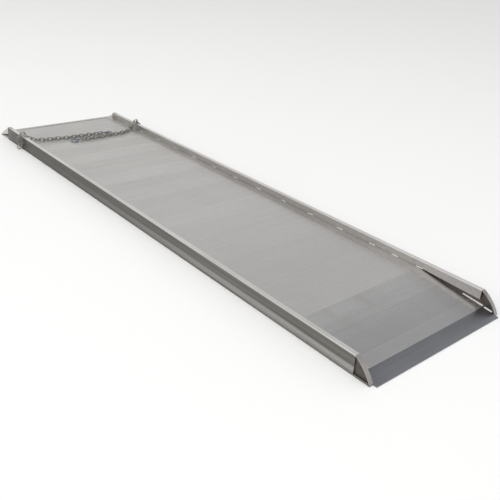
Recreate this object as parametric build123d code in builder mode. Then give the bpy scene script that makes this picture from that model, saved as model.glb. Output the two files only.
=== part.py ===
from build123d import *

import os
from math import atan, cos, degrees, radians, sin

# One-piece aluminium loading ramp with a knife edge at the ground end, an overlap lip at
# the truck end and two safety chains with snap hooks.
# Millimetres. X runs along the ramp towards the ground end, Y across it, Z is up.
# The origin is under the middle of the ramp, on the floor.

# ---- driving dimensions -------------------------------------------------------------
ramp_length = 2970.0        # lip tip to knife edge
ramp_width = 711.2          # over the two rails
rail_height = 76.2
rail_width = 19.0
rail_wall = 3.2             # top, inner wall and bottom flange
rail_web = 4.8              # outer wall
deck_height = 46.4          # top of the side strips
strip_thickness = 2.0
channel_wall = 2.5
strip_inner = 297.0         # half the clear width between the strips

plank_count = 21
plank_pitch = 118.6
plank_depth = 22.0
plank_skin = 2.8
rib_pitch = 7.9
rib_height = 0.4
approach_length = 365.0     # bend to knife edge, along X
knife_length = 69.0
knife_edge_height = 3.6

nose_length = 70.0          # rail's end cut to its tip
nose_cap_width = 16.0
wedge_gap_length = 250.0    # where the curb's inner wall lifts off the sloping strip
wedge_drop = 9.3

lip_drop_length = 94.0
lip_thickness = 6.4
lip_tip_height = 4.2
lip_tip_bottom = 0.4

bend_weld_pitch = 124.0     # the three welds nearest the bend are closer together
weld_pitch = 187.0
weld_length = 34.0
weld_leg = 4.5

chain_wire = 5.5            # 3/16 in proof coil chain
link_inside_length = 24.1
link_inside_width = 10.2
link_slack = 1.0            # at each of a standing link's two ends
saddle_clearance = 11.8     # centre of the saddle link above the rail's top
anchor_height = 13.7
eye_wire = 6.35
eye_radius = 10.5           # centreline of the eye bolt's ring

# ---- places worked out from them ----------------------------------------------------
toe_x = ramp_length / 2
tip_x = -ramp_length / 2
rail_tip_x = toe_x - 15.0
rail_cut_x = rail_tip_x - nose_length
bend_x = toe_x - approach_length
knife_back_x = toe_x - knife_length
deck_end_x = bend_x - plank_count * plank_pitch
lip_bend_x = tip_x + lip_drop_length
rail_far_top_x = deck_end_x + 15.0
rail_far_bottom_x = deck_end_x - 4.0

rail_outer = ramp_width / 2
rail_inner = rail_outer - rail_width
rail_middle = rail_outer - rail_width / 2
web_inner = rail_outer - rail_web
channel_inside = web_inner - channel_wall
nose_inner = rail_outer - nose_cap_width
nose_web_middle = rail_outer - nose_cap_width / 2

plank_top = deck_height - strip_thickness
approach_tangent = (plank_top - knife_edge_height) / approach_length
approach_angle = degrees(atan(approach_tangent))

sides = {"left": -1, "right": 1}
anchor_x = {"left": -1165.0, "right": -1085.0}
os.makedirs("parts", exist_ok=True)


def save(solid, label):
    """Labels a finished piece and writes it as one STEP file."""
    solid.label = label
    export_step(solid, f"parts/{label}.step")


def slope_height(x, level):
    """Height at x of a surface that is level on the deck and sloping on the approach."""
    return level - max(0.0, x - bend_x) * approach_tangent


def lengthwise(y):
    """Upright plane along the ramp at y, with local x forward and local y up."""
    return Plane(origin=(0, y, 0), x_dir=(1, 0, 0), z_dir=(0, -1, 0))


# ---- deck planks --------------------------------------------------------------------
tongue = 3.4
leg = 2.4
leg_clearance = 3.5         # trimmed legs stay this far off the floor, above the rail's flange


def plank_profile(width):
    """Ribbed plank section across local x, its rib tops at local y = 0."""
    half = width / 2
    skin_middle = -rib_height - plank_skin / 2
    leg_height = plank_depth - rib_height
    leg_middle = -rib_height - leg_height / 2
    rib_count = int((width - 4) // rib_pitch)
    with Locations((0, skin_middle)):
        Rectangle(width, plank_skin)
    with Locations((0, -rib_height)):
        with GridLocations(rib_pitch, 1, rib_count, 1):
            Rectangle(rib_pitch / 2, 2 * rib_height)
    # Two outer legs, a middle leg and their bottom flanges.
    with Locations((half - leg / 2 - tongue, leg_middle), (0, leg_middle), (leg / 2 - half, leg_middle)):
        Rectangle(leg, leg_height)
    flange_middle = leg / 2 - plank_depth
    with Locations((half - 7 - tongue, flange_middle), (0, flange_middle), (7 - half, flange_middle)):
        Rectangle(14, leg)
    # The leg at the truck side carries a tongue, and the next plank's pocket takes it.
    with Locations((-half - tongue / 2 + 0.3, -plank_depth / 2)):
        Rectangle(tongue - 0.6, 2.0)
    pocket = half - tongue / 2
    with Locations((pocket, -plank_depth / 2 + 2.6), (pocket, -plank_depth / 2 - 2.6)):
        Rectangle(tongue, 2.0)


def make_plank(label, middle_x, width, half_length, tilt=0.0):
    """One extruded plank lying across the ramp.

    On the approach it tilts, its back is mitred at the bend and its legs are trimmed to clear the floor.
    """
    height = slope_height(middle_x, plank_top)
    plane = Plane(
        origin=(middle_x, 0, height),
        x_dir=(cos(radians(tilt)), 0, -sin(radians(tilt))),
        z_dir=(0, -1, 0),
    )
    with BuildPart() as plank:
        with BuildSketch(plane):
            plank_profile(width)
        extrude(amount=half_length, both=True)
        if tilt:
            with Locations((middle_x, 0, leg_clearance - plank_depth)):
                Box(2 * width, 3 * half_length, 2 * plank_depth, mode=Mode.SUBTRACT)
            with Locations((bend_x - plank_depth, 0, 0)):
                Box(2 * plank_depth, 3 * half_length, 3 * deck_height, mode=Mode.SUBTRACT)
    save(plank.part, label)


for number in range(plank_count):
    make_plank(
        f"deck_plank_{number + 1:02d}",
        bend_x - (number + 0.5) * plank_pitch,
        plank_pitch,
        channel_inside,
    )

# Two whole planks and one ripped to width carry the approach down to the knife edge.
approach_half = nose_web_middle - rail_web / 2
approach_edges = [bend_x, bend_x + plank_pitch, bend_x + 2 * plank_pitch, knife_back_x]
for number, (back_x, front_x) in enumerate(zip(approach_edges, approach_edges[1:])):
    make_plank(
        f"approach_plank_{number + 1}",
        (back_x + front_x) / 2,
        (front_x - back_x) / cos(radians(approach_angle)),
        approach_half,
        tilt=approach_angle,
    )

with BuildPart() as knife_edge_plank:
    with BuildSketch(lengthwise(0)):
        with BuildLine():
            Polyline(
                (knife_back_x + 0.2, 0),
                (toe_x, 0),
                (toe_x, knife_edge_height - 1.2),
                (toe_x - 1.2, knife_edge_height),
                (knife_back_x + 0.2, slope_height(knife_back_x, plank_top)),
                close=True,
            )
        make_face()
    extrude(amount=nose_inner - 0.2, both=True)
save(knife_edge_plank.part, "knife_edge_plank")

# ---- side channels and approach strips ----------------------------------------------
channel_bottom = plank_top - plank_depth - channel_wall
strip_outer = approach_half


def make_side_channel(label, side):
    """Channel open towards the deck; its top flange is the smooth strip over the plank ends."""
    outline = [
        (strip_inner, deck_height),
        (web_inner, deck_height),
        (web_inner, channel_bottom),
        (strip_inner + 15, channel_bottom),
        (strip_inner + 15, channel_bottom + channel_wall),
        (channel_inside, channel_bottom + channel_wall),
        (channel_inside, plank_top),
        (strip_inner, plank_top),
    ]
    with BuildPart() as channel:
        with BuildSketch(Plane.YZ.offset(deck_end_x)):
            with BuildLine():
                Polyline(*[(side * y, z) for y, z in outline], close=True)
            make_face()
        extrude(amount=bend_x - deck_end_x)
    save(channel.part, label)


def make_approach_strip(label, side):
    """Flat strip over the plank ends, from the bend down to the knife edge plank."""
    with BuildPart() as strip:
        with BuildSketch(lengthwise(side * (strip_inner + strip_outer) / 2)):
            with BuildLine():
                Polyline(
                    (bend_x, plank_top),
                    (bend_x, deck_height),
                    (knife_back_x, slope_height(knife_back_x, deck_height)),
                    (knife_back_x, slope_height(knife_back_x, plank_top)),
                    close=True,
                )
            make_face()
        extrude(amount=(strip_outer - strip_inner) / 2, both=True)
    save(strip.part, label)


# ---- rails --------------------------------------------------------------------------
def make_rail(label, side, hole_x):
    """Curb rail: outer wall with a recessed panel, top, inner wall and bottom flange."""
    section = [
        (rail_inner, rail_height),
        (rail_outer, rail_height),
        (rail_outer, rail_height - 5.2),
        (rail_outer - 1.2, rail_height - 6.2),
        (rail_outer - 1.2, 33.5),
        (rail_outer - 2.4, 31.5),
        (rail_outer, 12.0),
        (rail_outer, 10.0),
        (rail_outer - 0.9, 9.0),
        (rail_outer - 0.9, 6.0),
        (rail_outer, 5.0),
        (rail_outer, 0),
        (nose_inner, 0),
        (nose_inner, rail_wall),
        (web_inner, rail_wall),
        (web_inner, rail_height - rail_wall),
        (rail_inner, rail_height - rail_wall),
    ]
    curb_bottom = deck_height + 0.6
    with BuildPart() as rail:
        with BuildSketch(Plane.YZ.offset(rail_far_bottom_x)):
            with BuildLine():
                Polyline(*[(side * y, z) for y, z in section], close=True)
            make_face()
        extrude(amount=rail_tip_x - rail_far_bottom_x)
        # The inner wall stays straight while the strip beside it slopes away.
        with BuildSketch(lengthwise(side * (rail_inner + rail_wall / 2))):
            with BuildLine():
                Polyline(
                    (rail_far_bottom_x, rail_height),
                    (rail_far_bottom_x, curb_bottom),
                    (rail_cut_x - wedge_gap_length, curb_bottom),
                    (rail_cut_x, curb_bottom - wedge_drop),
                    (rail_cut_x, rail_height),
                    close=True,
                )
            make_face()
        extrude(amount=rail_wall / 2, both=True)
        top_edges = rail.edges().filter_by(Axis.X).group_by(Axis.Z)[-1]
        fillet(top_edges, radius=1.4)
        # Walls end upright at the nose, and only the bottom flange runs on to the tip.
        with BuildSketch(lengthwise(0)):
            with BuildLine():
                Polyline(
                    (rail_cut_x, 6.0),
                    (rail_tip_x - 8, 6.0),
                    (rail_tip_x - 8, rail_wall),
                    (rail_tip_x + 1, rail_wall),
                    (rail_tip_x + 1, rail_height + 1),
                    (rail_cut_x, rail_height + 1),
                    close=True,
                )
            make_face()
            # The truck end leans forward.
            with BuildLine():
                Polyline(
                    (rail_far_bottom_x, 0),
                    (rail_far_top_x, rail_height),
                    (rail_far_top_x, rail_height + 1),
                    (rail_far_bottom_x - 1, rail_height + 1),
                    (rail_far_bottom_x - 1, 0),
                    close=True,
                )
            make_face()
        extrude(amount=ramp_width, both=True, mode=Mode.SUBTRACT)
        with BuildSketch(lengthwise(side * rail_outer)):
            with Locations((hole_x, anchor_height)):
                Circle(eye_wire / 2 + 0.15)
        extrude(amount=rail_web + 1, both=True, mode=Mode.SUBTRACT)
    save(rail.part, label)


# ---- nose of each rail --------------------------------------------------------------
cap_thickness = 3.2
nose_bulge = 9.5
nose_top_x = rail_cut_x - 2.0


def nose_arc_middle(inset):
    """Middle point of the nose's curve, moved inwards by inset."""
    chord_x = rail_tip_x - nose_top_x
    length = (chord_x**2 + rail_height**2) ** 0.5
    out = nose_bulge - inset
    return (
        (nose_top_x + rail_tip_x) / 2 + out * rail_height / length,
        rail_height / 2 + out * chord_x / length,
    )


def make_nose_web(label, side):
    """Plate that closes the rail's nose; it reaches back inside the open tube."""
    with BuildPart() as web:
        with BuildSketch(lengthwise(side * nose_web_middle)):
            with BuildLine():
                curve = ThreePointArc(
                    (rail_cut_x - 1.5, rail_height - rail_wall - 0.1),
                    nose_arc_middle(cap_thickness + 0.4),
                    (rail_tip_x - cap_thickness - 0.6, rail_wall),
                )
                Polyline(
                    curve @ 1,
                    (bend_x + 22, rail_wall),
                    (bend_x + 22, rail_height - rail_wall - 0.1),
                    curve @ 0,
                )
            make_face()
        extrude(amount=rail_web / 2, both=True)
    save(web.part, label)


def make_nose_cap(label, side):
    """Strip bent over the nose web, from the rail's top down to the floor."""
    with BuildPart() as cap:
        with BuildSketch(lengthwise(side * nose_web_middle)):
            with BuildLine():
                outer = ThreePointArc(
                    (rail_cut_x + 0.1, rail_height),
                    nose_arc_middle(0),
                    (rail_tip_x, rail_wall),
                )
                inner = ThreePointArc(
                    (rail_cut_x + 0.1, rail_height - rail_wall),
                    nose_arc_middle(cap_thickness),
                    (rail_tip_x - cap_thickness, rail_wall),
                )
                Line(outer @ 0, inner @ 0)
                Line(outer @ 1, inner @ 1)
            make_face()
        extrude(amount=nose_cap_width / 2, both=True)
    save(cap.part, label)


# ---- overlap lip --------------------------------------------------------------------
pocket_middle = plank_top - plank_depth / 2

with BuildPart() as overlap_lip:
    with BuildSketch(lengthwise(0)):
        with BuildLine():
            Polyline(
                (deck_end_x, deck_height),
                (lip_bend_x, deck_height),
                (tip_x, lip_tip_height),
                (tip_x, lip_tip_bottom),
                (lip_bend_x - 3, deck_height - lip_thickness),
                (deck_end_x - 4.8, deck_height - lip_thickness),
                (deck_end_x - 4.8, channel_bottom),
                (deck_end_x, channel_bottom),
                # The last plank's tongue goes in here.
                (deck_end_x, pocket_middle - 1.3),
                (deck_end_x - tongue, pocket_middle - 1.3),
                (deck_end_x - tongue, pocket_middle + 1.3),
                (deck_end_x, pocket_middle + 1.3),
                close=True,
            )
        make_face()
    extrude(amount=web_inner - 0.2, both=True)
save(overlap_lip.part, "overlap_lip")


def make_lip_gusset(label, side):
    """Triangular plate between the rail's end and the side of the lip."""
    slant = (rail_far_top_x - rail_far_bottom_x) / rail_height
    foot_height = 34.0
    with BuildPart() as gusset:
        with BuildSketch(lengthwise(side * (rail_outer - rail_web / 2))):
            with BuildLine():
                Polyline(
                    (rail_far_top_x, rail_height),
                    (tip_x, lip_tip_height),
                    (tip_x, lip_tip_bottom),
                    (rail_far_bottom_x + slant * foot_height, foot_height),
                    close=True,
                )
            make_face()
        extrude(amount=rail_web / 2, both=True)
    save(gusset.part, label)


for name, side in sides.items():
    make_side_channel(f"{name}_side_channel", side)
    make_approach_strip(f"{name}_approach_strip", side)
    make_rail(f"{name}_rail", side, anchor_x[name])
    make_nose_web(f"{name}_nose_web", side)
    make_nose_cap(f"{name}_nose_cap", side)
    make_lip_gusset(f"{name}_lip_gusset", side)

# ---- weld beads ---------------------------------------------------------------------
close_welds = 3
spaced_welds = 11
nose_weld_size = 5.0
toe_weld_size = 5.6


def make_bead(side, y, level, start_x, end_x, size):
    """Convex fillet bead in the corner between a floor surface and a wall at y."""
    stations = sorted({start_x, min(max(bend_x, start_x), end_x), end_x})
    with BuildPart() as bead:
        for x in stations:
            z = slope_height(x, level)
            with BuildSketch(Plane.YZ.offset(x)):
                with BuildLine():
                    corner = (side * y, z)
                    foot = (side * (y - size), z)
                    top = (side * y, z + size)
                    Line(corner, foot)
                    ThreePointArc(foot, (side * (y - 0.62 * size), z + 0.62 * size), top)
                    Line(top, corner)
                make_face()
        loft(ruled=True)
    return bead.part


first_weld_x = bend_x + 2
weld_middles = [first_weld_x - number * bend_weld_pitch for number in range(close_welds)]
weld_middles += [weld_middles[-1] - (number + 1) * weld_pitch for number in range(spaced_welds)]
with BuildPart() as curb_weld_beads:
    for side in sides.values():
        for x in weld_middles:
            add(make_bead(side, rail_inner, deck_height, x - weld_length / 2, x + weld_length / 2, weld_leg))
save(curb_weld_beads.part, "curb_weld_beads")

# One runs beside the sloping strip, and one fills the gap beside the knife edge plank.
with BuildPart() as nose_weld_beads:
    for side in sides.values():
        add(make_bead(side, strip_outer, deck_height, rail_cut_x - 78, knife_back_x - 1, nose_weld_size))
        add(make_bead(side, strip_outer, plank_top, knife_back_x + 1, rail_tip_x - 14, toe_weld_size))
save(nose_weld_beads.part, "nose_weld_beads")

# ---- where each chain climbs its rail -----------------------------------------------
# Every other link lies flat, and the links between stand on edge and turn on its end bars.
bar = link_inside_length / 2 + chain_wire / 2       # centre of a link to its end bar
flat_span = 2 * bar
standing_span = link_inside_length - chain_wire - 2 * link_slack
saddle_z = rail_height + saddle_clearance
chain_foot = anchor_height + eye_radius - eye_wire / 2 - chain_wire / 2 - 0.2
shoulder_z = chain_foot + flat_span + standing_span
hang_offset = standing_span / 2 + (flat_span**2 - (saddle_z - shoulder_z) ** 2) ** 0.5
hang_y = rail_middle + hang_offset

# ---- chain anchors ------------------------------------------------------------------
washer_thickness = 1.6
nut_height = 5.6
nut_flats = 11.1
nut_face = web_inner - nut_height
shank_end = nut_face - 2.5

with BuildPart() as eye_bolts:
    for name, side in sides.items():
        with BuildSketch(lengthwise(side * shank_end)):
            with Locations((anchor_x[name], anchor_height)):
                Circle(eye_wire / 2)
        extrude(amount=-side * (hang_y - eye_radius - shank_end))
        with Locations(Plane((anchor_x[name], side * hang_y, anchor_height), z_dir=(1, 0, 0))):
            Torus(eye_radius, eye_wire / 2)
save(eye_bolts.part, "eye_bolts")

with BuildPart() as anchor_washers:
    for name, side in sides.items():
        with BuildSketch(lengthwise(side * rail_outer)):
            with Locations((anchor_x[name], anchor_height)):
                Circle(7.9)
                Circle(eye_wire / 2 + 0.2, mode=Mode.SUBTRACT)
        extrude(amount=-side * washer_thickness)
save(anchor_washers.part, "anchor_washers")

with BuildPart() as anchor_lock_nuts:
    for name, side in sides.items():
        with BuildSketch(lengthwise(side * nut_face)):
            with Locations((anchor_x[name], anchor_height)):
                RegularPolygon(nut_flats / 2, 6, major_radius=False)
                Circle(eye_wire / 2 + 0.05, mode=Mode.SUBTRACT)
        extrude(amount=-side * nut_height)
save(anchor_lock_nuts.part, "anchor_lock_nuts")

# ---- chain links --------------------------------------------------------------------
half_width = link_inside_width / 2 + chain_wire / 2
straight = bar - half_width

with BuildPart() as link:
    with BuildLine():
        Line((-straight, half_width), (straight, half_width))
        ThreePointArc((straight, half_width), (bar, 0), (straight, -half_width))
        Line((straight, -half_width), (-straight, -half_width))
        ThreePointArc((-straight, -half_width), (-bar, 0), (-straight, half_width))
    with BuildSketch(Plane.YZ):
        with Locations((half_width, 0)):
            Circle(chain_wire / 2)
    sweep()

# Each chain rises from its eye bolt, passes over the rail and lies loosely across the deck.
lying_height = plank_top + 0.71 * half_width + chain_wire / 2 + 0.3
deck_route = {
    "left": [
        (-1141, -297),
        (-1123, -272),
        (-1109, -240),
        (-1101, -200),
        (-1095, -165),
        (-1087, -132),
        (-1082, -96),
        (-1080, -58),
        (-1077, -18),
        (-1073, 16),
        (-1069, 55),
        (-1064, 100),
        (-1060, 140),
    ],
    "right": [
        (-1061, 298),
        (-1042, 275),
        (-1025, 245),
        (-1015, 208),
        (-1012, 168),
        (-1009, 127),
        (-1004, 84),
        (-1002, 48),
        (-1004, 4),
        (-1008, -38),
        (-1012, -80),
        (-1016, -120),
        (-1020, -160),
    ],
}
drop_links = 3              # from the eye bolt up to the rail's top
rail_links = 5              # from the eye bolt over the rail to its inner side
first_run_links = 7
second_run_links = 6
run_links = {"left": 19, "right": 17}


def over_rail(name, side):
    """Pivots of the links that climb the rail's outer face and cross its top."""
    x = anchor_x[name]
    descent = radians(52)
    landing = (
        -standing_span / 2 - flat_span * cos(descent),
        saddle_z - flat_span * sin(descent),
    )
    offsets = [
        (0, hang_offset, chain_foot),
        (0, hang_offset, chain_foot + flat_span),
        (0, hang_offset, shoulder_z),
        (2, standing_span / 2, saddle_z),
        (5, -standing_span / 2, saddle_z),
        (12, *landing),
    ]
    return [Vector(x + drift, side * (rail_middle + out), z) for drift, out, z in offsets]


def next_pivot(route, start, span, position):
    """The point further along the route that is one span away from start."""
    while (route @ position - start).length < span:
        position += 0.0005
    return position


def chain_pivots(name, side):
    """The points that each chain's links turn on, from the eye bolt to the hook."""
    pivots = over_rail(name, side)
    first_x, first_y = deck_route[name][0]
    points = [pivots[-1], Vector(first_x, first_y, lying_height + strip_thickness)]
    points += [Vector(x, y, lying_height) for x, y in deck_route[name][1:]]
    route = Edge.make_spline(points, tangents=None)
    position = 0.0
    for number in range(run_links[name]):
        span = flat_span if number % 2 else standing_span
        position = next_pivot(route, pivots[-1], span, position)
        pivot = route @ position
        pivot.Z = max(pivot.Z, lying_height)
        pivots.append(pivot)
    return pivots


def link_plane(start, end, roll):
    """Plane of the link between two pivots. It stands on edge, turned by roll degrees about its length."""
    along = (end - start).normalized()
    level = Vector(0, 0, 1).cross(along)
    if level.length < 0.1:
        level = Vector(1, 0, 0)
    level = level.normalized()
    normal = level.rotate(Axis((0, 0, 0), along), roll)
    return Plane(origin=(start + end) / 2, x_dir=along, z_dir=normal)


def link_planes(pivots, side):
    """Planes of all the links: flat and standing in turn over the rail, then leaning either way."""
    planes = []
    for number, (start, end) in enumerate(zip(pivots, pivots[1:])):
        settled = min(1.0, max(0.0, (number - rail_links + 1) / 3))
        planes.append(link_plane(start, end, 90 * (number + 1) - side * 45 * settled))
    return planes


def save_links(label, planes):
    with BuildPart() as links:
        with Locations(*planes):
            add(link.part)
    save(links.part, label)


# ---- snap hooks ---------------------------------------------------------------------
# Drawn flat: the eye's centre is the origin, and the hook points along +X.
hook_eye_wire = 6.0
hook_eye_radius = 8.5
hook_wire = 9.0
bowl_x = 42.0
bowl_radius = 16.0
hook_tip = (31.0, -17.5)
latch_pivot = (20.0, -7.2)
latch_reach = 17.0
latch_angle = -7.0
latch_width = 6.0
knuckle_radius = 3.0
pin_radius = 1.5

with BuildPart() as hook:
    Torus(hook_eye_radius, hook_eye_wire / 2)
    with BuildLine():
        neck = Line((hook_eye_radius, 0), (15, 0))
        shank = Spline(neck @ 1, (bowl_x, bowl_radius), tangents=[(1, 0), (1, 0)])
        bowl = ThreePointArc(shank @ 1, (bowl_x + bowl_radius, 0), (bowl_x, -bowl_radius))
        Spline(bowl @ 1, hook_tip, tangents=[(-1, 0), (-1, -0.25)])
    with BuildSketch(Plane(origin=(hook_eye_radius, 0, 0), z_dir=(1, 0, 0))):
        Circle(hook_wire / 2)
    sweep()
    with Locations(hook_tip):
        Sphere(hook_wire / 2)
    # Two ears hold the latch's pin.
    for ear_z in (latch_width / 2 + 0.3, -latch_width / 2 - 0.3 - 1.8):
        with BuildSketch(Plane.XY.offset(ear_z)):
            with Locations(latch_pivot):
                Circle(4.0)
            with Locations((latch_pivot[0], latch_pivot[1] + 3.5)):
                Rectangle(8, 7)
        extrude(amount=1.8)
    with Locations(latch_pivot):
        Cylinder(pin_radius + 0.02, 3 * latch_width, mode=Mode.SUBTRACT)

with BuildPart() as latch:
    with BuildSketch():
        with Locations(latch_pivot):
            Circle(knuckle_radius)
            with Locations(Location((0, 0), latch_angle)):
                with Locations((latch_reach / 2, -1.6)):
                    Rectangle(latch_reach, 1.6)
    extrude(amount=latch_width / 2, both=True)
    # The coil sits between the two knuckles.
    with Locations(latch_pivot):
        Cylinder(knuckle_radius + 0.6, 3.0, mode=Mode.SUBTRACT)
        Cylinder(pin_radius + 0.05, latch_width, mode=Mode.SUBTRACT)

with BuildPart() as latch_pin:
    with Locations(latch_pivot):
        Cylinder(pin_radius, latch_width + 4.6)

with BuildPart() as latch_spring:
    with BuildLine():
        coil = Helix(pitch=0.8, height=1.9, radius=2.2)
    with BuildSketch(Plane(origin=coil @ 0, z_dir=coil % 0)):
        Circle(0.32)
    sweep(is_frenet=True)

# ---- the two chains -----------------------------------------------------------------
eye_lift = 4.8              # the hook's eye is held up by the last link
last_link_roll = 28.0       # nearly upright, because it holds the hook's flat eye
last_link_lift = 1.25
bar_to_eye = 1.6            # from the last link's end bar to the centre of the hook's eye

for name, side in sides.items():
    pivots = chain_pivots(name, side)
    planes = link_planes(pivots, side)
    along = (pivots[-1] - pivots[-2]).normalized()
    last_centre = (pivots[-1] + pivots[-2]) / 2 + Vector(0, 0, last_link_lift)
    planes[-1] = link_plane(last_centre - along, last_centre + along, -side * last_link_roll)
    save_links(f"{name}_chain_drop", planes[:drop_links])
    first_end = drop_links + first_run_links
    second_end = first_end + second_run_links
    save_links(f"{name}_chain_run_1", planes[drop_links:first_end])
    save_links(f"{name}_chain_run_2", planes[first_end:second_end])
    save_links(f"{name}_chain_run_3", planes[second_end:])

    flat_height = plank_top + hook_wire / 2 + 0.3
    eye = last_centre + along * (bar + bar_to_eye)
    eye.Z = flat_height + eye_lift
    slope = eye_lift / (bowl_x + bowl_radius)
    hook_plane = Plane(origin=eye, x_dir=along - Vector(0, 0, slope), z_dir=Vector(0, 0, 1) + along * slope)
    save(hook.part.moved(hook_plane.location), f"{name}_hook_body")
    save(latch.part.moved(hook_plane.location), f"{name}_hook_latch")
    save(latch_pin.part.moved(hook_plane.location), f"{name}_latch_pin")
    coil_place = hook_plane.location * Location((*latch_pivot, -0.95))
    save(latch_spring.part.moved(coil_place), f"{name}_latch_spring")
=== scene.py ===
from math import pi, radians, sin

import bmesh
import bpy
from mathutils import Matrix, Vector


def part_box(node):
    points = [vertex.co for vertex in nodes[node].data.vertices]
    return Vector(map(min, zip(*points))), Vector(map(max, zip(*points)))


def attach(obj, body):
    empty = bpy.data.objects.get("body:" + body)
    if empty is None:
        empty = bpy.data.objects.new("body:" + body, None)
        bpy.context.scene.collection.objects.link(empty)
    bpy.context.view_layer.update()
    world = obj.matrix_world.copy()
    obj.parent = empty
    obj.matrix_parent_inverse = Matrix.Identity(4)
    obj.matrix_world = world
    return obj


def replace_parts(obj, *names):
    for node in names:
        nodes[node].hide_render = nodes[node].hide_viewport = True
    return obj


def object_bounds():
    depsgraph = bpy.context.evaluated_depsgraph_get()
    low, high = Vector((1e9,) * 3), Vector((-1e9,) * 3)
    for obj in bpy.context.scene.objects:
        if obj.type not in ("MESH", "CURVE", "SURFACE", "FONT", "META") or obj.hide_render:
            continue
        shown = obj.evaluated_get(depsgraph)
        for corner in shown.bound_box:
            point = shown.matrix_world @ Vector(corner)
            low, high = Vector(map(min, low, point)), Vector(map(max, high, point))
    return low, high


# One-piece aluminium loading ramp: the CAD model with metal finishes, rippled weld beads,
# a pale studio and the photograph's camera. Metres, in the CAD model's frame.

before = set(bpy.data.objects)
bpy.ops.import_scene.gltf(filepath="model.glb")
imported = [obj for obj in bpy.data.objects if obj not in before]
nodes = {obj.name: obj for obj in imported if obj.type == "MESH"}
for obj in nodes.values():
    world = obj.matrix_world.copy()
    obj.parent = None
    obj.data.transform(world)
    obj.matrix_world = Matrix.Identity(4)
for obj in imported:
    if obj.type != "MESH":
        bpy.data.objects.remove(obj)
cad_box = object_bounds()

# ---- places taken from the CAD model ----------------------------------------------------
strip_thickness = 0.002
rib_height = 0.0004

rail_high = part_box("right_rail")[1]
curb_top = rail_high.z
strip_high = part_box("right_side_channel")[1]
approach_low, approach_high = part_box("right_approach_strip")
plank_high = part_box("deck_plank_01")[1]
knife_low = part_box("knife_edge_plank")[0]

bend_x = strip_high.x
deck_end_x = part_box("right_side_channel")[0].x
plank_pitch = plank_high.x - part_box("deck_plank_02")[1].x


# ---- shader building --------------------------------------------------------------------
class Shader:
    """A material's node tree, built up by calls that each add one node and return its output."""

    def __init__(self, name):
        self.material = bpy.data.materials.new(name)
        self.material.use_nodes = True
        self.tree = self.material.node_tree
        self.surface = self.tree.nodes["Principled BSDF"]
        self.place = self.tree.nodes.new("ShaderNodeTexCoord").outputs["Object"]

    def _connect(self, socket, value):
        if isinstance(value, bpy.types.NodeSocket):
            self.tree.links.new(value, socket)
        elif isinstance(value, tuple) and len(value) == 3 and socket.type == "RGBA":
            socket.default_value = (*value, 1.0)
        else:
            socket.default_value = value

    def set(self, socket, value):
        self._connect(self.surface.inputs[socket], value)

    def coordinate(self, axis):
        """One coordinate of the point being shaded, in metres."""
        node = self.tree.nodes.new("ShaderNodeSeparateXYZ")
        self._connect(node.inputs[0], self.place)
        return node.outputs[axis]

    def stretched(self, scale):
        """The shaded point scaled by a different amount along each axis."""
        node = self.tree.nodes.new("ShaderNodeMapping")
        self._connect(node.inputs["Vector"], self.place)
        node.inputs["Scale"].default_value = scale
        return node.outputs[0]

    def noise(self, scale, detail=4.0, rough=0.5):
        """Noise from 0 to 1. Scale is per metre, one number or one for each axis."""
        node = self.tree.nodes.new("ShaderNodeTexNoise")
        vector = self.stretched(scale if isinstance(scale, tuple) else (scale,) * 3)
        self._connect(node.inputs["Vector"], vector)
        node.inputs["Scale"].default_value = 1.0
        node.inputs["Detail"].default_value = detail
        node.inputs["Roughness"].default_value = rough
        return node.outputs["Fac"]

    def spread(self, value, low, high, out_low=0.0, out_high=1.0):
        """Moves the range low..high of a value to out_low..out_high, with smooth ends."""
        node = self.tree.nodes.new("ShaderNodeMapRange")
        node.interpolation_type = "SMOOTHSTEP"
        self._connect(node.inputs["Value"], value)
        limits = {"From Min": low, "From Max": high, "To Min": out_low, "To Max": out_high}
        for socket, number in limits.items():
            self._connect(node.inputs[socket], number)
        return node.outputs[0]

    def math(self, operation, first, second=0.0):
        node = self.tree.nodes.new("ShaderNodeMath")
        node.operation = operation
        self._connect(node.inputs[0], first)
        self._connect(node.inputs[1], second)
        return node.outputs[0]

    def mix(self, amount, first, second, blend="MIX"):
        """Mixes two colours."""
        node = self.tree.nodes.new("ShaderNodeMix")
        node.data_type = "RGBA"
        node.blend_type = blend
        self._connect(node.inputs[0], amount)
        self._connect(node.inputs[6], first)
        self._connect(node.inputs[7], second)
        return node.outputs[2]

    def grey(self, value):
        """Turns a number into a grey colour."""
        node = self.tree.nodes.new("ShaderNodeCombineColor")
        for socket in node.inputs:
            self._connect(socket, value)
        return node.outputs[0]

    def bump(self, height, distance, strength=1.0):
        node = self.tree.nodes.new("ShaderNodeBump")
        self._connect(node.inputs["Height"], height)
        node.inputs["Distance"].default_value = distance
        node.inputs["Strength"].default_value = strength
        self.set("Normal", node.outputs[0])


def grain_scale(axis, along, across):
    """Noise scale that draws the grain out along one axis."""
    return tuple(along if name == axis else across for name in "XYZ")


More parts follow.
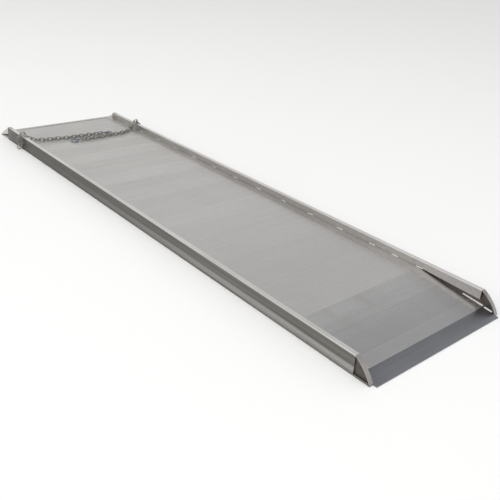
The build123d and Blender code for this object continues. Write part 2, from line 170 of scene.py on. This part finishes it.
def aluminium(name, colour, grain_axis, roughness, stain=0.10, grain=0.10):
    """Mill finish aluminium: die lines along the extrusion, cloudy oxide and scuffs."""
    shader = Shader(name)
    fine = shader.noise(grain_scale(grain_axis, 5.0, 900.0), detail=3.0)
    coarse = shader.noise(grain_scale(grain_axis, 1.2, 90.0), detail=3.0)
    clouds = shader.noise(6.0, detail=5.0)
    scuffs = shader.spread(shader.noise(38.0, detail=6.0, rough=0.7), 0.58, 0.72)
    shade = shader.math("ADD", shader.spread(fine, 0.3, 0.7, 1 - grain, 1.0),
                        shader.spread(coarse, 0.3, 0.7, -grain / 2, grain / 2))
    shade = shader.math("MULTIPLY", shade, shader.spread(clouds, 0.3, 0.7, 1 - stain, 1.0))
    shade = shader.math("SUBTRACT", shade, shader.math("MULTIPLY", scuffs, 0.05))
    base = shader.mix(1.0, colour, shader.grey(shade), "MULTIPLY")
    shader.set("Metallic", 1.0)
    worn = shader.math("ADD", shader.spread(clouds, 0.35, 0.7, roughness, roughness + 0.05),
                       shader.math("MULTIPLY", scuffs, 0.12))
    shader.set("Roughness", shader.math("ADD", worn, shader.spread(fine, 0.3, 0.7, -0.03, 0.03)))
    shader.bump(shader.math("ADD", fine, shader.math("MULTIPLY", scuffs, 0.6)), 0.00006)
    return shader, base


# ---- materials --------------------------------------------------------------------------
def plank_tone(shader, base):
    """Gives each plank its own tone, and dirt in the seam between two planks."""
    seam_dirt = (0.20, 0.20, 0.20)
    past_bend = shader.math("SUBTRACT", shader.coordinate("X"), bend_x)
    from_bend = shader.math("DIVIDE", past_bend, plank_pitch)
    tone = shader.tree.nodes.new("ShaderNodeTexWhiteNoise")
    tone.noise_dimensions = "1D"
    shader.tree.links.new(shader.math("FLOOR", from_bend), tone.inputs["W"])
    tone_grey = shader.grey(shader.spread(tone.outputs["Value"], 0.0, 1.0, 0.95, 1.0))
    base = shader.mix(1.0, base, tone_grey, "MULTIPLY")
    seam = shader.math("ABSOLUTE", shader.math("SUBTRACT", shader.math("FRACT", from_bend), 0.5))
    return shader.mix(shader.spread(seam, 0.485, 0.5, 0.0, 0.4), base, seam_dirt)


def deck_metal():
    """Flat planks: even and slightly warm, with a painted reflection that dulls them towards the
    ground end.
    """
    clean = (0.735, 0.725, 0.712)
    painted_dim_reflection = (0.56, 0.558, 0.56)
    painted_dim_length = 1.9
    shader, base = aluminium("deck_aluminium", clean, "Y", 0.38, stain=0.05, grain=0.06)
    # Painted reflection: the planks darken towards the ground end, standing in for the dimmer
    # reflection seen there.
    painted_dim_mask = shader.spread(shader.coordinate("X"), bend_x - painted_dim_length, bend_x, 0.0, 0.5)
    base = shader.mix(painted_dim_mask, base, painted_dim_reflection)
    shader.set("Base Color", plank_tone(shader, base))
    return shader.material


def approach_metal():
    """Sloping planks: greyer than the deck, with smears of brown."""
    clean = (0.60, 0.598, 0.60)
    worn = (0.47, 0.47, 0.485)
    brown = (0.50, 0.47, 0.43)
    shader, base = aluminium("approach_aluminium", clean, "Y", 0.36, stain=0.05, grain=0.06)
    wear = shader.spread(shader.coordinate("X"), bend_x, knife_low.x, 0.0, 0.9)
    base = shader.mix(wear, base, worn)
    smears = shader.spread(shader.noise((3.0, 9.0, 3.0), detail=3.0), 0.52, 0.75, 0.0, 0.5)
    base = shader.mix(smears, base, brown)
    shader.set("Base Color", plank_tone(shader, base))
    return shader.material


def strip_metal():
    """Smooth side strips, a little browner than the planks."""
    shader, base = aluminium("strip_aluminium", (0.64, 0.625, 0.61), "X", 0.36, stain=0.12)
    shader.set("Base Color", base)
    return shader.material


def rail_metal():
    """Curbs: bright on top, with painted shade on the inner and outer walls, deepest in the recessed
    outer panel and along the foot of the outer wall.
    """
    panel_low = 0.0310
    panel_high = 0.0715
    foot_shade_height = 0.016
    foot_shade_colour = (0.12, 0.105, 0.09)
    outer_truck_end_dark = (0.085, 0.078, 0.068)
    burnt_metal = (0.19, 0.165, 0.14)
    shader, base = aluminium("rail_aluminium", (0.82, 0.805, 0.785), "X", 0.34, stain=0.12)
    z = shader.coordinate("Z")
    y = shader.math("ABSOLUTE", shader.coordinate("Y"))
    below_top = shader.spread(z, curb_top - 0.001, curb_top - 0.004)
    outer = shader.spread(y, rail_high.y - 0.0075, rail_high.y - 0.0045)
    outer = shader.math("MULTIPLY", outer, below_top)
    # Painted shade darkens the inner wall below the top; its crosswise mottle is rubbing by loads.
    rubs = shader.spread(shader.noise((260.0, 40.0, 60.0), detail=6.0, rough=0.7), 0.35, 0.70)
    shaded_rubbed_inner = shader.mix(rubs, (0.44, 0.415, 0.395), (0.54, 0.52, 0.50))
    inner = shader.math("SUBTRACT", below_top, outer)
    base = shader.mix(shader.math("MULTIPLY", inner, 0.85), base, shaded_rubbed_inner)
    # Painted shade: the outer wall is far darker than the top, with weathering streaks; the recessed
    # panel under the top lip gets deeper painted shade.
    streaks = shader.spread(shader.noise((2.0, 60.0, 130.0), detail=3.0), 0.3, 0.7)
    shaded_streaked_outer = shader.mix(streaks, (0.27, 0.26, 0.247), (0.36, 0.35, 0.333))
    base = shader.mix(shader.math("MULTIPLY", outer, 0.9), base, shaded_streaked_outer)
    above_ledge = shader.spread(z, panel_low, panel_low + 0.0025)
    under_lip = shader.spread(z, panel_high, panel_high - 0.002)
    panel = shader.math("MULTIPLY", outer, shader.math("MULTIPLY", above_ledge, under_lip))
    shaded = shader.mix(streaks, (0.135, 0.128, 0.115), (0.19, 0.182, 0.168))
    base = shader.mix(shader.math("MULTIPLY", panel, 0.92), base, shaded)
    # Painted shade along the foot of the outer wall, darkest at the floor.
    foot_shade_mask = shader.spread(z, foot_shade_height, 0.0, 0.0, 0.75)
    base = shader.mix(shader.math("MULTIPLY", outer, foot_shade_mask), base, foot_shade_colour)
    # The outer face grows darker towards the truck.
    truck_end_darkening = shader.spread(shader.coordinate("X"), 1.1, -1.0, 0.0, 0.85)
    base = shader.mix(shader.math("MULTIPLY", outer, truck_end_darkening), base, outer_truck_end_dark)
    # The cut ends at the truck are browned and smeared.
    burnt = shader.spread(shader.coordinate("X"), deck_end_x + 0.10, deck_end_x + 0.01, 0.0, 0.55)
    base = shader.mix(burnt, base, burnt_metal)
    shader.set("Base Color", base)
    return shader.material


def knife_metal():
    """The smooth last plank: bluish with a dark painted shade for the dim sky it mirrors, paler at its
    edge, with scratches along the ramp.
    """
    worn_length = 0.075
    # Painted shade: the dark base stands in for the dim sky the plank mirrors.
    shader, base = aluminium("knife_aluminium", (0.25, 0.258, 0.28), "Y", 0.33, stain=0.10, grain=0.12)
    wear = shader.spread(shader.coordinate("X"), knife_low.x, knife_low.x + worn_length, 0.0, 0.4)
    base = shader.mix(wear, base, (0.34, 0.35, 0.375))
    scratches = shader.spread(shader.noise((30.0, 420.0, 30.0), detail=3.0), 0.68, 0.76)
    base = shader.mix(shader.math("MULTIPLY", scratches, 0.20), base, (0.62, 0.63, 0.64))
    shader.set("Base Color", base)
    return shader.material


def nose_metal():
    """Nose webs: dark brown painted shade, with darker patches."""
    # Painted shade: the dark brown base stands in for the shade under the nose strips.
    shader, base = aluminium("nose_aluminium", (0.17, 0.157, 0.145), "X", 0.42, stain=0.25)
    dark_patches = shader.spread(shader.noise(22.0, detail=4.0), 0.42, 0.68, 0.0, 0.65)
    base = shader.mix(dark_patches, base, (0.085, 0.068, 0.055))
    shader.set("Base Color", base)
    return shader.material


def cap_metal():
    """Curved nose caps: scraped plate with browned patches."""
    shader, base = aluminium("cap_aluminium", (0.50, 0.48, 0.46), "X", 0.38, stain=0.18)
    dark_patches = shader.spread(shader.noise(30.0, detail=4.0), 0.50, 0.70, 0.0, 0.6)
    base = shader.mix(dark_patches, base, (0.27, 0.24, 0.21))
    shader.set("Base Color", base)
    return shader.material


def lip_metal():
    """Overlap lip and its gussets: plain plate."""
    shader, base = aluminium("lip_aluminium", (0.67, 0.65, 0.63), "Y", 0.38, stain=0.12)
    shader.set("Base Color", base)
    return shader.material


def weld_metal():
    """Weld bead: silvery, with patches of soot."""
    shader, base = aluminium("weld_aluminium", (0.58, 0.575, 0.565), "Y", 0.34, stain=0.10, grain=0.04)
    soot = shader.spread(shader.noise(260.0, detail=3.0), 0.55, 0.75, 0.0, 0.5)
    base = shader.mix(soot, base, (0.42, 0.40, 0.37))
    shader.set("Base Color", base)
    return shader.material


def zinc(name, colour, dull, roughness):
    """Zinc plate over steel: mottled, with duller patches and tiny pits."""
    shader = Shader(name)
    mottle = shader.noise(420.0, detail=5.0, rough=0.6)
    patches = shader.noise(60.0, detail=3.0)
    base = shader.mix(shader.spread(mottle, 0.35, 0.65), dull, colour)
    base = shader.mix(shader.spread(patches, 0.5, 0.75, 0.0, 0.45), base, dull)
    shader.set("Base Color", base)
    shader.set("Metallic", 1.0)
    shader.set("Roughness", shader.spread(mottle, 0.3, 0.7, roughness, roughness + 0.16))
    shader.bump(mottle, 0.00008)
    return shader.material


deck = deck_metal()
approach = approach_metal()
strip = strip_metal()
rail = rail_metal()
knife = knife_metal()
nose = nose_metal()
cap = cap_metal()
lip = lip_metal()
weld = weld_metal()
chain_zinc = zinc("chain_zinc", (0.50, 0.485, 0.445), (0.16, 0.152, 0.14), 0.28)
hook_zinc = zinc("hook_zinc", (0.46, 0.485, 0.52), (0.16, 0.175, 0.20), 0.24)
bolt_zinc = zinc("bolt_zinc", (0.60, 0.59, 0.55), (0.30, 0.29, 0.27), 0.32)
spring_steel = zinc("spring_steel", (0.42, 0.43, 0.45), (0.20, 0.20, 0.21), 0.28)

# The first words of a node's name, left or right aside, choose its metal.
finishes = {
    "deck_plank": deck,
    "approach_plank": approach,
    "knife_edge": knife,
    "side_channel": strip,
    "approach_strip": strip,
    "rail": rail,
    "nose_web": nose,
    "nose_cap": cap,
    "overlap_lip": lip,
    "lip_gusset": lip,
    "curb_weld": weld,
    "nose_weld": weld,
    "chain": chain_zinc,
    "hook_body": hook_zinc,
    "hook_latch": hook_zinc,
    "latch_pin": bolt_zinc,
    "latch_spring": spring_steel,
    "eye_bolts": bolt_zinc,
    "anchor": bolt_zinc,
}
for name, node in nodes.items():
    plain_name = name.removeprefix("left_").removeprefix("right_")
    metal = next(metal for start, metal in finishes.items() if plain_name.startswith(start))
    node.data.materials.clear()
    node.data.materials.append(metal)


# ---- weld beads -------------------------------------------------------------------------
def rippled_bead(mesh, start, end, side, size):
    """Adds one rippled fillet bead in the corner of a floor and a wall on the side given."""
    ripple = 0.0035
    steps = max(8, int((end - start).length / ripple * 4))
    arc_points = 8
    rings = []
    for step in range(steps + 1):
        share = step / steps
        centre = start.lerp(end, share)
        run = share * (end - start).length
        # Ends are rounded, and each ripple is a small scale laid over the one before.
        taper = min(1.0, run / (1.2 * size) + 0.35, ((end - start).length - run) / (1.2 * size) + 0.35)
        reach = size * taper * (0.86 + 0.14 * abs(sin(pi * run / ripple)))
        ring = [mesh.verts.new(centre)]
        for point in range(arc_points + 1):
            turn = pi / 2 * point / arc_points
            swell = reach * (1 - 0.24 * sin(2 * turn) ** 2)
            inward = swell * (1 - turn / (pi / 2))
            upward = swell * turn / (pi / 2)
            bulge = 0.12 * reach * sin(2 * turn)
            ring.append(mesh.verts.new(centre + Vector((0, -side * (inward + bulge), upward + bulge))))
        rings.append(ring)
    for ring, following in zip(rings, rings[1:]):
        for index in range(len(ring)):
            after = (index + 1) % len(ring)
            mesh.faces.new((ring[index], ring[after], following[after], following[index]))
    mesh.faces.new(rings[0])
    mesh.faces.new(reversed(rings[-1]))


def piece_from(mesh, name, body, material):
    """Turns a finished bmesh into a smooth shaded piece of the ramp."""
    bmesh.ops.recalc_face_normals(mesh, faces=mesh.faces)
    data = bpy.data.meshes.new(name)
    mesh.to_mesh(data)
    mesh.free()
    data.shade_smooth()
    piece = bpy.data.objects.new(name, data)
    bpy.context.scene.collection.objects.link(piece)
    data.materials.append(material)
    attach(piece, body)
    return piece


def curb_beads():
    """Short beads at the foot of both curbs, three of them close together by the bend."""
    bend_weld_pitch = 0.124
    weld_pitch = 0.187
    weld_length = 0.034
    weld_size = 0.0040
    close_welds = 3
    spaced_welds = 11
    first_middle = bend_x + 0.002
    middles = [first_middle - number * bend_weld_pitch for number in range(close_welds)]
    middles += [middles[-1] - (number + 1) * weld_pitch for number in range(spaced_welds)]
    curb_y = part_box("curb_weld_beads")[1].y
    mesh = bmesh.new()
    for side in (-1, 1):
        for middle in middles:
            start = Vector((middle - weld_length / 2, side * curb_y, strip_high.z))
            end = Vector((middle + weld_length / 2, side * curb_y, strip_high.z))
            rippled_bead(mesh, start, end, side, weld_size)
    return piece_from(mesh, "curb_weld_ripples", "ramp", weld)


def nose_beads():
    """Long beads beside the sloping strips, and short ones beside the knife edge plank."""
    weld_size = 0.0049
    half_gap = 0.001
    low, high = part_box("nose_weld_beads")
    fall = approach_high.z - approach_low.z - strip_thickness
    slope = fall / (approach_high.x - approach_low.x)
    runs = (
        (low.x, knife_low.x - half_gap, strip_high.z),
        (knife_low.x + half_gap, high.x, plank_high.z - rib_height),
    )
    mesh = bmesh.new()
    for side in (-1, 1):
        for start_x, end_x, level in runs:
            start, end = (
                Vector((x, side * high.y, level - slope * (x - bend_x)))
                for x in (start_x, end_x)
            )
            rippled_bead(mesh, start, end, side, weld_size)
    return piece_from(mesh, "nose_weld_ripples", "ramp", weld)


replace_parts(curb_beads(), "curb_weld_beads")
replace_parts(nose_beads(), "nose_weld_beads")


# ---- studio -----------------------------------------------------------------------------
def studio_floor():
    """Pale floor with a faint mottle, far wider than the view."""
    floor_gap = 0.0005
    half_width = 30.0
    shader = Shader("studio_floor")
    mottle = shader.noise(0.8, detail=2.0)
    shader.set("Base Color", shader.mix(mottle, (0.95, 0.95, 0.95), (0.97, 0.97, 0.97)))
    shader.set("Roughness", 0.9)
    mesh = bmesh.new()
    bmesh.ops.create_grid(mesh, x_segments=8, y_segments=8, size=half_width)
    data = bpy.data.meshes.new("studio_floor")
    mesh.to_mesh(data)
    mesh.free()
    data.materials.append(shader.material)
    floor = bpy.data.objects.new("studio_floor", data)
    floor.location.z = cad_box[0][2] - floor_gap
    bpy.context.scene.collection.objects.link(floor)


def studio_sky():
    """Soft light from all round: bright overhead and at a third of the way up, dim between."""
    horizon = (0.85, 0.845, 0.835, 1)
    zenith = (1.6, 1.6, 1.6, 1)
    levels = {0.22: 0.72, 0.32: 0.96, 0.42: 0.82, 0.56: 0.66, 0.72: 0.42, 0.86: 0.45}
    world = bpy.data.worlds.new("studio")
    world.use_nodes = True
    tree = world.node_tree
    background = tree.nodes["Background"]
    direction = tree.nodes.new("ShaderNodeTexCoord").outputs["Generated"]
    split = tree.nodes.new("ShaderNodeSeparateXYZ")
    tree.links.new(direction, split.inputs[0])
    height = tree.nodes.new("ShaderNodeValToRGB")
    tree.links.new(split.outputs["Z"], height.inputs[0])
    ramp = height.color_ramp
    ramp.elements[0].position = 0.0
    ramp.elements[0].color = horizon
    ramp.elements[1].position = 1.0
    ramp.elements[1].color = zenith
    for position, level in levels.items():
        stop = ramp.elements.new(position)
        stop.color = (level, level * 0.995, level * 0.985, 1)
    tree.links.new(height.outputs[0], background.inputs["Color"])
    background.inputs["Strength"].default_value = 1.0
    bpy.context.scene.world = world


def soft_box(name, place, target, size, watts):
    """Rectangular area light at a place, pointing at a target."""
    light = bpy.data.lights.new(name, "AREA")
    light.shape = "RECTANGLE"
    light.size = size[0]
    light.size_y = size[1]
    light.energy = watts
    lamp = bpy.data.objects.new(name, light)
    lamp.location = place
    lamp.rotation_euler = (Vector(target) - Vector(place)).to_track_quat("-Z", "Y").to_euler()
    bpy.context.scene.collection.objects.link(lamp)


studio_floor()
studio_sky()
soft_box("key_light", (1.5, -5.0, 7.5), (0, 0, 0), (15.0, 11.0), 480)

# ---- camera -----------------------------------------------------------------------------
camera_data = bpy.data.cameras.new("camera")
camera_data.lens = 46.4
camera_data.sensor_width = 36.0
camera = bpy.data.objects.new("camera", camera_data)
camera.location = (2.3915, -1.6805, 1.2334)
camera.rotation_euler = (radians(63.10), radians(-3.22), radians(50.37))
bpy.context.scene.collection.objects.link(camera)
bpy.context.scene.camera = camera
bpy.context.scene.view_settings.view_transform = "Standard"
